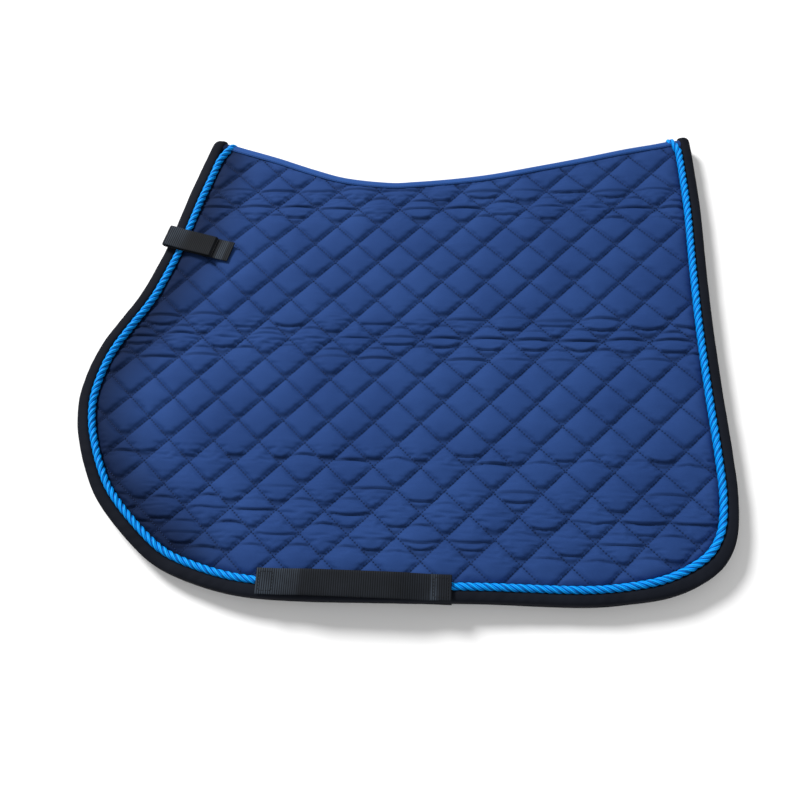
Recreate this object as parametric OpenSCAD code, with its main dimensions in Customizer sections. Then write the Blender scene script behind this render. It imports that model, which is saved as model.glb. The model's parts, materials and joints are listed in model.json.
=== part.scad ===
// Saddle pad with a shaped spine, folded double along the spine and lying flat.
// X runs from the front edge to the rear edge, Y from the girth edge to the spine, Z is up.
// The origin is under the middle of the folded pad, on the surface it lies on.
// The right flap is underneath and the left flap is on top of it.

/* [Pad] */
// Length of a flap, front to rear
pad_length = 680; // [620:5:740]
// Depth of a flap, from the spine ends to the girth edge
pad_depth = 545; // [500:5:600]
// Thickness of one quilted flap
flap_t = 10.5; // [9.5:0.5:14]
// Thickness of the cover cloth and of the lining cloth
cloth_t = 0.8; // [0.5:0.1:1]

/* [Edges] */
// Width of the rolled edge binding
binding_w = 11; // [9:0.5:13]
// Diameter of the twisted rope trim
cord_d = 8; // [7:0.5:8]
// Width of the spine tape on each flap
tape_w = 10; // [8:0.5:12]

/* [Straps] */
// Width of the webbing
webbing_w = 25; // [20:1:30]
// Thickness of the webbing
webbing_t = 1.5; // [1.2:0.1:1.8]
// Length of the girth keeper, with both sewn ends
keeper_length = 188; // [150:1:200]
// Length of the front tab, from its fold to its sewn end
tab_length = 80; // [70:1:90]
// Height of the loop inside the front tab's fold
loop_gap = 4.2; // [4.2:0.1:5]

/* [Fold] */
// How far below the spine ends the left flap bends when it is lifted
fold_depth = 92; // [88:1:100]
// Gap between the two halves at the bend
fold_gap = 0.3; // [0.3:0.1:1]

/* [Hidden] */
$fn = 48;
model_length = 680;
model_depth = 545;
scale_x = pad_length / model_length;
scale_y = pad_depth / model_depth;

// Height that the straps stand above the quilting, and the whole folded height
strap_rise = loop_gap + 2 * webbing_t;
flap_gap = 0.3;
total_h = 2 * (strap_rise + flap_t) + flap_gap;
mid_z = total_h / 2;
inner_z = mid_z + flap_gap / 2;
cover_top = inner_z + flap_t;
fold_y = pad_depth / 2 - fold_depth;

// Heights in the thin edge of the left flap, where the cloths meet under the rope
binding_leg = 0.9;
lining_z = inner_z + binding_leg;
flange_z = lining_z + cloth_t;
flange_top = flange_z + cloth_t;
cord_r = cord_d / 2;
cord_z = cover_top - cord_r;
binding_top = cover_top - 3;
binding_wall = 1.5;

// How far in from the edge the rope runs, and where the thick quilting starts
cord_inset = binding_w + cord_r;
quilt_inset = binding_w + cord_d;
turn_r = cord_z - mid_z;
turn_inset = turn_r + cord_r;
clear = 0.2;

// The outer edge from the front spine end, down, along the girth edge and up to the rear spine end
edge_knots = [
    [-235, 275], [-246, 235], [-255, 195], [-262, 158], [-270, 121], [-280, 90],
    [-292, 60], [-309, 30], [-325, 0], [-335, -30], [-340, -65], [-337, -95],
    [-329, -122], [-316, -152], [-299, -180], [-271, -210], [-235, -240], [-200, -256],
    [-148, -269], [-90, -272.5], [0, -271], [100, -268], [190, -267], [235, -262],
    [270, -255], [298, -243], [321, -225], [335, -198], [339.8, -160], [339, -115],
    [335, -45], [332, 30], [331, 100], [331, 165], [329, 215], [327, 250], [325, 275]];

// The spine seam from front to rear
spine_knots = [
    [-245, 273], [-222, 270.5], [-200, 263], [-155, 248], [-110, 231], [-70, 218.5],
    [-20, 212], [10, 213], [55, 217], [100, 223.5], [150, 234], [200, 245],
    [250, 257], [285, 264], [310, 269.5], [335, 272.5]];

// A point the fraction t of the way from b to c, on the smooth curve through a, b, c and d
function curve_point(a, b, c, d, t) =
    0.5 * (2 * b + (c - a) * t + (2 * a - 5 * b + 4 * c - d) * t * t
        + (3 * b - a - 3 * c + d) * t * t * t);

// A smooth curve through the knots, with n steps between each pair
function curve(p, n) = concat(
    [for (i = [0:len(p) - 2], k = [0:n - 1])
        curve_point(p[max(i - 1, 0)], p[i], p[i + 1], p[min(i + 2, len(p) - 1)], k / n)],
    [p[len(p) - 1]]);

function sized(p) = [for (q = p) [q[0] * scale_x, q[1] * scale_y]];
function unit(v) = v / norm(v);

// The direction along a line of points at point i
function heading(p, i) = unit(p[min(i + 1, len(p) - 1)] - p[max(i - 1, 0)]);
function left_of(v) = [-v[1], v[0]];

// The line of points moved d to its left
function moved(p, d) = [for (i = [0:len(p) - 1]) p[i] + d * left_of(heading(p, i))];

// Both ends of the line of points drawn out straight by d
function drawn_out(p, d) = concat(
    [p[0] - d * heading(p, 0)], p, [p[len(p) - 1] + d * heading(p, len(p) - 1)]);

edge = curve(sized(edge_knots), 4);
edge_coarse = curve(sized(edge_knots), 2);
spine = curve(sized(spine_knots), 4);
far = 2 * pad_depth;

// The flap's area, inset from the outer edge and from the spine
module flap_area(edge_inset, spine_inset) {
    s = drawn_out(moved(spine, -spine_inset), far / 8);
    intersection() {
        polygon(drawn_out(moved(edge, edge_inset), far / 16));
        polygon(concat(s, [[far, -far], [-far, -far]]));
    }
}

module slab(z, t) {
    translate([0, 0, z])
        linear_extrude(t)
            children();
}

// The places at the spine ends where the rope turns over to the other flap
module rope_turns() {
    difference() {
        flap_area(binding_w - clear, -cord_d);
        flap_area(quilt_inset + clear, -far / 8);
        flap_area(0, turn_inset + 1);
    }
}

// The right flap is the left flap's mirror image
module on_right() {
    translate([0, 0, total_h])
        mirror([0, 0, 1])
            children();
}

module band(y_low, y_high) {
    intersection() {
        children();
        translate([-far, y_low, -far])
            cube([2 * far, y_high - y_low, 2 * far]);
    }
}

module below_fold() {
    band(-far, fold_y - fold_gap / 2)
        children();
}

module above_fold() {
    band(fold_y + fold_gap / 2, far)
        children();
}

// Cover cloth of one flap: the raised quilting, its side wall and the thin edge
module cover_shape() {
    difference() {
        union() {
            slab(cover_top - cloth_t, cloth_t)
                flap_area(quilt_inset, tape_w);
            slab(flange_z, cover_top - flange_z)
                difference() {
                    flap_area(quilt_inset, tape_w);
                    flap_area(quilt_inset + cloth_t, tape_w + cloth_t);
                }
            slab(flange_z, cloth_t)
                difference() {
                    flap_area(binding_wall, binding_wall);
                    flap_area(quilt_inset, tape_w);
                }
        }
        slab(0, total_h)
            rope_turns();
    }
}

// Wadding of one flap, between the cover and the lining
module wadding_shape() {
    slab(flange_z, cover_top - cloth_t - flange_z)
        flap_area(quilt_inset + cloth_t, tape_w + cloth_t);
}

// Lining cloth of one flap, flat from edge to edge
module lining_shape() {
    slab(lining_z, cloth_t)
        difference() {
            flap_area(binding_wall, binding_wall);
            rope_turns();
        }
}

// Rolled binding of one flap, with a slot that holds the cover and the lining
module binding_shape() {
    module strip(inset, z, t) {
        slab(z, t)
            difference() {
                flap_area(0, 0);
                flap_area(inset, -far / 8);
            }
    }
    strip(binding_w, inner_z, binding_leg);
    strip(binding_wall, inner_z, binding_top - inner_z);
    strip(binding_w, flange_top, binding_top - flange_top);
}

// Where the binding goes over the spine end from one flap to the other
module binding_turns() {
    slab(total_h - binding_top, 2 * binding_top - total_h)
        difference() {
            flap_area(0, 0);
            flap_area(binding_w, -far / 8);
            flap_area(0, binding_wall);
        }
}

// The rope's line round a flap, as points each with the direction across the rope
function below_spine(p, inset) = let (
    s = moved(spine, -inset),
    i = [for (k = [0:len(s) - 2]) if (s[k][0] <= p[0] && p[0] < s[k + 1][0]) k],
    k = len(i) > 0 ? i[0] : (p[0] < s[0][0] ? 0 : len(s) - 2),
    t = (p[0] - s[k][0]) / (s[k + 1][0] - s[k][0])
) s[k][1] + t * (s[k + 1][1] - s[k][1]) - p[1];

function crossing(p, q, inset) = let (
    a = below_spine(p, inset), b = below_spine(q, inset)
) p + (q - p) * a / (a - b);

rope_line = moved(edge_coarse, cord_inset);
rope_in = [for (i = [0:len(rope_line) - 1]) if (below_spine(rope_line[i], turn_inset) > 2) i];
first_in = rope_in[0];
last_in = rope_in[len(rope_in) - 1];
rope_round = concat(
    [crossing(rope_line[first_in], rope_line[first_in - 1], turn_inset)],
    [for (i = rope_in) rope_line[i]],
    [crossing(rope_line[last_in], rope_line[last_in + 1], turn_inset)]);

function at_height(line, z) = [for (i = [0:len(line) - 1])
    [[line[i][0], line[i][1], z], concat(left_of(heading(line, i)), 0)]];

// The half turn over a spine end, from the left flap's rope down to the right flap's
function half_turn(end, dir) = [for (a = [22.5:22.5:157.5])
    [[end[0] + turn_r * sin(a) * dir[0], end[1] + turn_r * sin(a) * dir[1],
        mid_z + turn_r * cos(a)], concat(left_of(dir), 0)]];

function reversed(p) = [for (i = [len(p) - 1:-1:0]) p[i]];

// Where the rope's line crosses the bend in the left flap
function clipped(line, y, keep_low) = let (
    n = len(line),
    inside = function (p) keep_low ? p[1] < y : p[1] > y
) concat(
    [for (i = [0:n - 1]) each concat(
        i > 0 && !inside(line[i - 1]) && inside(line[i])
            ? [line[i - 1] + (line[i] - line[i - 1]) * (y - line[i - 1][1])
                / (line[i][1] - line[i - 1][1])] : [],
        inside(line[i]) ? [line[i]] : [],
        i < n - 1 && inside(line[i]) && !inside(line[i + 1])
            ? [line[i] + (line[i + 1] - line[i]) * (y - line[i][1])
                / (line[i + 1][1] - line[i][1])] : [])]);

front_half = [for (p = rope_round) if (p[0] < 0) p];
rear_half = [for (p = rope_round) if (p[0] >= 0) p];
front_top = clipped(front_half, fold_y + fold_gap / 2, false);
rear_top = clipped(rear_half, fold_y + fold_gap / 2, false);
rope_low = clipped(rope_round, fold_y - fold_gap / 2, true);
front_up = -heading(rope_round, 0);
rear_up = heading(rope_round, len(rope_round) - 1);

function flipped_side(p) = [for (q = p) [q[0], -q[1]]];

root_route = concat(
    reversed(at_height(front_top, cord_z)),
    flipped_side(half_turn(rope_round[0], front_up)),
    at_height(rope_round, total_h - cord_z),
    reversed(half_turn(rope_round[len(rope_round) - 1], rear_up)),
    reversed(at_height(rear_top, cord_z)));

// A round tube along a route, with eight flat sides
module tube(route, r) {
    sides = 8;
    n = len(route);
    rings = [for (i = [0:n - 1], k = [0:sides - 1]) let (
        t = unit(route[min(i + 1, n - 1)][0] - route[max(i - 1, 0)][0]),
        side = unit(route[i][1]),
        up = cross(t, side),
        a = 360 * (k + 0.5) / sides
    ) route[i][0] + r * (cos(a) * side + sin(a) * up)];
    walls = [for (i = [0:n - 2], k = [0:sides - 1]) let (m = (k + 1) % sides)
        [i * sides + k, i * sides + m, (i + 1) * sides + m, (i + 1) * sides + k]];
    caps = [[for (k = [sides - 1:-1:0]) k], [for (k = [0:sides - 1]) (n - 1) * sides + k]];
    polyhedron(rings, concat(walls, caps));
}

// Webbing keeper that the girth runs through, sewn down at both ends
keeper_x = -122 * scale_x;
keeper_y = (-272.5 + 3.5) * scale_y;
keeper_sewn = 20;
keeper_ramp = 12;
patch_t = 1.2;

module keeper_shape() {
    low = cover_top;
    high = total_h - webbing_t;
    a = keeper_sewn;
    b = keeper_sewn + keeper_ramp;
    under = [[0, low], [a, low], [b, high], [keeper_length - b, high],
        [keeper_length - a, low], [keeper_length, low]];
    over = [for (i = [len(under) - 1:-1:0]) under[i] + [0, webbing_t]];
    translate([keeper_x, keeper_y + webbing_w, 0])
        rotate([90, 0, 0])
            linear_extrude(webbing_w)
                polygon(concat(under, over));
}

// Folded end of the keeper, sewn on top of its rear end
module keeper_patch_shape() {
    translate([keeper_x + keeper_length - keeper_sewn, keeper_y, cover_top + webbing_t])
        cube([keeper_sewn, webbing_w, patch_t]);
}

// Front tab, which folds back on itself outside the front edge and closes with hook and loop
tab_x = -270.5 * scale_x;
tab_y = 129 * scale_y;
tab_turn = -14.5;
tab_fold_r = loop_gap / 2 + webbing_t;
tab_axis_z = cover_top + tab_fold_r;
tab_bend = 3.5;
strap_end = tab_length - 17;
patch_start = 26;
patch_end = 60;
patch_gap = 0.3;
hook_t = (loop_gap - patch_gap) / 2;

module at_tab() {
    translate([tab_x, tab_y, 0])
        rotate([0, 0, tab_turn])
            children();
}

module tab_layer(start, end, z, t) {
    at_tab()
        translate([start, -webbing_w / 2, z])
            cube([end - start, webbing_w, t]);
}

module tab_base_shape() {
    tab_layer(tab_fold_r, tab_length, cover_top, webbing_t);
    at_tab()
        translate([tab_fold_r, webbing_w / 2, tab_axis_z])
            rotate([90, 0, 0])
                difference() {
                    cylinder(r = tab_fold_r, h = webbing_w);
                    translate([0, 0, -1])
                        cylinder(r = loop_gap / 2, h = webbing_w + 2);
                    translate([0, -2 * tab_fold_r, -1])
                        cube([2 * tab_fold_r, 4 * tab_fold_r, webbing_w + 2]);
                }
}

module tab_strap_shape() {
    tab_layer(tab_fold_r + tab_bend, strap_end, total_h - webbing_t, webbing_t);
}

module hook_patch_shape() {
    tab_layer(patch_start, patch_end, total_h - webbing_t - hook_t, hook_t);
}

module loop_patch_shape() {
    tab_layer(patch_start, patch_end, cover_top + webbing_t, hook_t);
}

cover_blue = [0.13, 0.25, 0.53];
lining_blue = [0.12, 0.2, 0.42];
tape_blue = [0.18, 0.36, 0.64];
rope_blue = [0.0, 0.48, 0.9];
wadding_white = [0.93, 0.93, 0.9];
webbing_black = [0.1, 0.1, 0.12];
binding_black = [0.09, 0.1, 0.13];
patch_black = [0.05, 0.05, 0.06];

module right_cover() { color(cover_blue) on_right() cover_shape(); }
module right_wadding() { color(wadding_white) on_right() wadding_shape(); }
module right_lining() { color(lining_blue) on_right() lining_shape(); }
module left_cover_top() { color(cover_blue) above_fold() cover_shape(); }
module left_wadding_top() { color(wadding_white) above_fold() wadding_shape(); }
module left_lining_top() { color(lining_blue) above_fold() lining_shape(); }
module left_cover() { color(cover_blue) below_fold() cover_shape(); }
module left_wadding() { color(wadding_white) below_fold() wadding_shape(); }
module left_lining() { color(lining_blue) below_fold() lining_shape(); }

module edge_binding() {
    color(binding_black) {
        on_right()
            binding_shape();
        above_fold()
            binding_shape();
        binding_turns();
    }
}

module left_binding() { color(binding_black) below_fold() binding_shape(); }
module rope_trim() { color(rope_blue) tube(root_route, cord_r); }
module left_rope_trim() { color(rope_blue) tube(at_height(rope_low, cord_z), cord_r); }

// Tape round the outside of the spine seam, with a slot for each flap's thin edge
module spine_tape() {
    color(tape_blue)
        difference() {
            slab(total_h - binding_top, 2 * binding_top - total_h)
                difference() {
                    flap_area(quilt_inset + clear, 0);
                    flap_area(0, tape_w);
                }
            slab(total_h - flange_top, 2 * flange_top - total_h)
                flap_area(0, binding_wall);
        }
}

// Seam turnings between the two linings, where the flaps are sewn together
module spine_seam() {
    color(lining_blue)
        slab(total_h - lining_z, 2 * lining_z - total_h)
            difference() {
                flap_area(quilt_inset + clear, binding_wall);
                flap_area(0, tape_w);
            }
}

module right_girth_keeper() { color(webbing_black) on_right() keeper_shape(); }
module right_keeper_patch() { color(webbing_black) on_right() keeper_patch_shape(); }
module right_tab_base() { color(webbing_black) on_right() tab_base_shape(); }
module right_loop_patch() { color(patch_black) on_right() loop_patch_shape(); }
module right_tab_strap() { color(webbing_black) on_right() tab_strap_shape(); }
module right_hook_patch() { color(patch_black) on_right() hook_patch_shape(); }
module left_girth_keeper() { color(webbing_black) keeper_shape(); }
module left_keeper_patch() { color(webbing_black) keeper_patch_shape(); }
module left_tab_base() { color(webbing_black) tab_base_shape(); }
module left_loop_patch() { color(patch_black) loop_patch_shape(); }
module left_tab_strap() { color(webbing_black) tab_strap_shape(); }
module left_hook_patch() { color(patch_black) hook_patch_shape(); }

right_cover();
right_wadding();
right_lining();
left_cover_top();
left_wadding_top();
left_lining_top();
edge_binding();
rope_trim();
spine_tape();
spine_seam();
right_girth_keeper();
right_keeper_patch();
right_tab_base();
right_loop_patch();
left_cover();
left_wadding();
left_lining();
left_binding();
left_rope_trim();
left_girth_keeper();
left_keeper_patch();
left_tab_base();
left_loop_patch();
left_tab_strap();
left_hook_patch();
right_tab_strap();
right_hook_patch();
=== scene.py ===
import json
import math

import bpy
import numpy as np
from mathutils import Matrix, Vector


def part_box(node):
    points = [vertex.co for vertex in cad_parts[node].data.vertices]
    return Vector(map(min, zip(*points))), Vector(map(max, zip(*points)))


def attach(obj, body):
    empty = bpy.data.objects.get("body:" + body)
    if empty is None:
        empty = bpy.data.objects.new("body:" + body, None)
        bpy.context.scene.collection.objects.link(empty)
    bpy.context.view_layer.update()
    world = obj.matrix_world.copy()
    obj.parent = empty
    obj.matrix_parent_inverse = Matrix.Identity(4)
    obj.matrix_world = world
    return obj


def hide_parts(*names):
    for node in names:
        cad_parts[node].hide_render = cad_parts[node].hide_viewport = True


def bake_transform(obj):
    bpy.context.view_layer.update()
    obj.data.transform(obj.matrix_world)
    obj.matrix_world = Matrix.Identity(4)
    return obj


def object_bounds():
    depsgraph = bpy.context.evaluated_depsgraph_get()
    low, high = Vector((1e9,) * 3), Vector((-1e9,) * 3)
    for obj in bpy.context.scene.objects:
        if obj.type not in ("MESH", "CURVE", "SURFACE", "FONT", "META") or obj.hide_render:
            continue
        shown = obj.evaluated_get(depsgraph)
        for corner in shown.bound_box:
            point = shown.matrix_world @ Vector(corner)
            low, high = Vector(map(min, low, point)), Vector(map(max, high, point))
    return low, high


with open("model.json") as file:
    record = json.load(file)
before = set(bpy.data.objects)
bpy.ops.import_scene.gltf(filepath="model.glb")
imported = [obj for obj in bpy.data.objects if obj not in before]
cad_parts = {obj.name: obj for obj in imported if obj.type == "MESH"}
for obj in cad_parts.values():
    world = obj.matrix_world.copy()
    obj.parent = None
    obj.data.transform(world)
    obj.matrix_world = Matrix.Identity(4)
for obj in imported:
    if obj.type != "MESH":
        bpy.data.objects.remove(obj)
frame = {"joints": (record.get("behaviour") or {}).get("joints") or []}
cad_low, cad_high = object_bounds()

# Lengths below are millimetres in the row frame: X to the rear edge, Y to the spine, Z up.
MM = 0.001
SEED = 7


def node_box(name):
    """Lowest and highest corner of a CAD node, in millimetres."""
    low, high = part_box(name)
    return np.array(low) / MM, np.array(high) / MM


# ---- sizes from the frame
TOTAL_H = cad_high.z / MM
MID_Z = TOTAL_H / 2
COVER_LOW, COVER_HIGH = node_box("left_cover")
COVER_TOP = COVER_HIGH[2]
FLANGE_Z = COVER_LOW[2]
INNER_Z = node_box("left_binding")[0][2]
ROPE_R = 4.0
ROPE_Z = COVER_TOP - ROPE_R
KEEPER_LOW, KEEPER_HIGH = node_box("left_girth_keeper")
PATCH_LOW, PATCH_HIGH = node_box("left_keeper_patch")
WEB_T = PATCH_LOW[2] - COVER_TOP
PEEL = next(j for j in frame["joints"] if j["name"] == "left_tab_peel")
CLOTH_T = 0.8

# ---- the flap's outline
EDGE_KNOTS = [
    (-235, 275), (-246, 235), (-255, 195), (-262, 158), (-270, 121), (-280, 90),
    (-292, 60), (-309, 30), (-325, 0), (-335, -30), (-340, -65), (-337, -95),
    (-329, -122), (-316, -152), (-299, -180), (-271, -210), (-235, -240), (-200, -256),
    (-148, -269), (-90, -272.5), (0, -271), (100, -268), (190, -267), (235, -262),
    (270, -255), (298, -243), (321, -225), (335, -198), (339.8, -160), (339, -115),
    (335, -45), (332, 30), (331, 100), (331, 165), (329, 215), (327, 250), (325, 275)]
SPINE_KNOTS = [
    (-245, 273), (-222, 270.5), (-200, 263), (-155, 248), (-110, 231), (-70, 218.5),
    (-20, 212), (10, 213), (55, 217), (100, 223.5), (150, 234), (200, 245),
    (250, 257), (285, 264), (310, 269.5), (335, 272.5)]


def curve(knots, step):
    """A smooth curve through the knots, resampled to even steps."""
    p = np.array(knots, float)
    padded = np.vstack([p[0], p, p[-1]])
    out = []
    for i in range(len(p) - 1):
        a, b, c, d = padded[i:i + 4]
        for t in np.arange(0, 1, 0.05):
            out.append(0.5 * (2 * b + (c - a) * t + (2 * a - 5 * b + 4 * c - d) * t * t
                              + (3 * b - a - 3 * c + d) * t ** 3))
    out.append(p[-1])
    return even(np.array(out), step)


def length_along(p):
    """How far along a line of points each of them is."""
    return np.r_[0, np.cumsum(np.linalg.norm(np.diff(p, axis=0), axis=1))]


def even(p, step):
    """The line of points p with points at even steps along it."""
    length = length_along(p)
    n = max(2, int(round(length[-1] / step)) + 1)
    at = np.linspace(0, length[-1], n)
    return np.stack([np.interp(at, length, p[:, k]) for k in range(p.shape[1])], axis=1)


def headings(p):
    d = np.gradient(p, axis=0)
    return d / np.linalg.norm(d, axis=1)[:, None]


def left_of(v):
    return np.stack([-v[:, 1], v[:, 0]], axis=1)


def smooth(t):
    t = np.clip(t, 0, 1)
    return t * t * (3 - 2 * t)


def mix(a, b, t):
    return a + (b - a) * t


EDGE = curve(EDGE_KNOTS, 4.0)
SPINE = curve(SPINE_KNOTS, 4.0)


def distance_to(line, x, y):
    """Signed distance to a line of points, positive on its left."""
    a, b = line[:-1], line[1:]
    best = np.full(len(x), 1e9)
    sign = np.ones(len(x))
    for (ax, ay), (bx, by) in zip(a, b):
        dx, dy = bx - ax, by - ay
        t = np.clip(((x - ax) * dx + (y - ay) * dy) / (dx * dx + dy * dy), 0, 1)
        d = np.hypot(x - ax - t * dx, y - ay - t * dy)
        nearer = d < best
        best = np.where(nearer, d, best)
        side = np.sign(dx * (y - ay) - dy * (x - ax))
        sign = np.where(nearer & (side != 0), side, sign)
    return best * sign


def spine_y(x):
    return np.interp(x, SPINE[:, 0], SPINE[:, 1])


BINDING_W = 10.8


def binding_width(x, y):
    """The binding shows wider round the front and the lower rear corner than along the rear edge."""
    front = 1.7 * smooth((-40 - x) / 100) + 1.0 * smooth((y - 170) / 60) * smooth(-x / 100)
    corner = 2.6 * smooth(1.1 - np.hypot(x - 305, y + 235) / 75)
    return BINDING_W + front + corner


# ---- the quilting lattice
HALF_DIAGONAL = 24.0
LEAN = 0.0414
SQUASH = 0.993
LATTICE_ORIGIN = (-124.7, 150.0)


def lattice_xy(s, t):
    """Where lattice point (s, t) lies. Seams run along whole values of s and of t."""
    a, b = s + t, s - t
    x = HALF_DIAGONAL * (a + LEAN * b) + LATTICE_ORIGIN[0]
    y = -HALF_DIAGONAL * SQUASH * b + LATTICE_ORIGIN[1]
    return x, y


def lattice_st(x, y):
    b = (LATTICE_ORIGIN[1] - y) / (HALF_DIAGONAL * SQUASH)
    a = (x - LATTICE_ORIGIN[0]) / HALF_DIAGONAL - LEAN * b
    return (a + b) / 2, (a - b) / 2


def cell_random(i, j, k):
    """A repeatable random value from 0 to 1 for each cell of the lattice."""
    h = np.sin(i * 127.1 + j * 311.7 + k * 74.7 + SEED) * 43758.5453
    return h - np.floor(h)


def wave_noise(x, y, scale_x, scale_y, seed):
    """Soft noise from -1 to 1, made of a few sine waves at odd angles."""
    rng = np.random.default_rng(seed)
    out = np.zeros(len(x))
    for _ in range(7):
        fx, fy = rng.uniform(0.5, 1.5, 2)
        turn = rng.uniform(-1, 1)
        phase = rng.uniform(0, 2 * np.pi)
        out += np.sin(2 * np.pi * (x * fx * turn / scale_x + y * fy / scale_y) + phase)
    return out / 4.0


# ---- sag onto the surface
SAG_LOWER = 6.4
SAG_UPPER = 3.0
SAG_REACH = 100.0
TAB_U = Vector((-PEEL["axis"][1], PEEL["axis"][0], 0)).normalized()
TAB_V = Vector((-PEEL["axis"][0], -PEEL["axis"][1], 0)).normalized()
TAB_AXIS = np.array(PEEL["pos_m"]) / MM
TAB_LENGTH = 80.0
WEB_W = KEEPER_HIGH[1] - KEEPER_LOW[1]


def sag(x, y, z):
    """How far the soft pad hangs down to the surface, away from the straps that hold it up."""
    dx = np.maximum(np.maximum(KEEPER_LOW[0] - x, x - KEEPER_HIGH[0]), 0)
    dy = np.maximum(np.maximum(KEEPER_LOW[1] - y, y - KEEPER_HIGH[1]), 0)
    keeper = np.hypot(dx, dy)
    u = (x - TAB_AXIS[0]) * TAB_U.x + (y - TAB_AXIS[1]) * TAB_U.y
    v = (x - TAB_AXIS[0]) * TAB_V.x + (y - TAB_AXIS[1]) * TAB_V.y
    tab = np.hypot(np.maximum(np.maximum(-5 - u, u - TAB_LENGTH), 0),
                   np.maximum(np.abs(v) - WEB_W / 2, 0))
    held = np.maximum(1 - smooth(keeper / SAG_REACH), 1 - smooth(tab / SAG_REACH))
    return mix(SAG_LOWER, SAG_UPPER, smooth(z / TOTAL_H)) * (1 - held)


def spine_round(d, radius):
    """How much of the pad's height is left at distance d from the spine's edge."""
    t = 1 - np.clip(d / radius, 0, 1)
    return np.sqrt(np.clip(1 - t * t, 0, 1))


# ---- mesh helpers
def make_piece(name, verts, faces, material, sagging=True, smooth_faces=True):
    """A mesh object from points in millimetres, at rest in the row frame."""
    v = np.array(verts, float)
    if sagging:
        v[:, 2] -= sag(v[:, 0], v[:, 1], v[:, 2])
    mesh = bpy.data.meshes.new(name)
    mesh.from_pydata((v * MM).tolist(), [], faces)
    mesh.validate()
    if smooth_faces:
        mesh.polygons.foreach_set("use_smooth", [True] * len(mesh.polygons))
    piece = bpy.data.objects.new(name, mesh)
    bpy.context.scene.collection.objects.link(piece)
    mesh.materials.append(material)
    return piece


def add_attribute(piece, name, values):
    layer = piece.data.attributes.new(name, "FLOAT", "POINT")
    layer.data.foreach_set("value", np.asarray(values, np.float32))


def flipped(verts, faces):
    """The right flap's mirror image of a left flap's mesh."""
    v = np.array(verts, float)
    v[:, 2] = TOTAL_H - v[:, 2]
    return v, [tuple(reversed(f)) for f in faces]


def rings_beside(line, across, d, z):
    """A ring of points for each point of a level line: how far across it they are, and how high."""
    x, y = (line[:, k, None] + across[:, k, None] * d for k in (0, 1))
    return np.dstack([x, y, np.broadcast_to(z, x.shape)])


def strip_faces(rings, around, closed=True, caps=False):
    """Faces of a sweep: rings of points, each with the same number around."""
    last = around if closed else around - 1
    faces = []
    for i in range(rings - 1):
        for k in range(last):
            m = (k + 1) % around
            faces.append((i * around + k, i * around + m, (i + 1) * around + m, (i + 1) * around + k))
    if caps:
        faces.append(tuple(range(around - 1, -1, -1)))
        faces.append(tuple((rings - 1) * around + k for k in range(around)))
    return faces


BODY_RIGHT, BODY_LEFT = "right_flap", "left_flap"


def settle(piece, body, nodes):
    """Hides the CAD parts a piece stands for and hangs it on the body it rides on. The left flap's cloth,
    which bends at the spine, hangs on no body: its placement is baked into its mesh.
    """
    if body == "bend":
        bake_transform(piece)
    else:
        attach(piece, body)
    if nodes:
        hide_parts(*nodes)


def on_both_flaps(name, verts, faces, material, left_nodes, right_nodes, attributes=()):
    """A piece of the left flap, which bends at the spine, and its mirror image on the right flap."""
    left = make_piece(f"left_{name}", verts, faces, material)
    right = make_piece(f"right_{name}", *flipped(verts, faces), material)
    for piece in (left, right):
        for attribute, values in attributes:
            add_attribute(piece, attribute, values)
    settle(left, "bend", left_nodes)
    settle(right, BODY_RIGHT, right_nodes)
    return left, right


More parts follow.
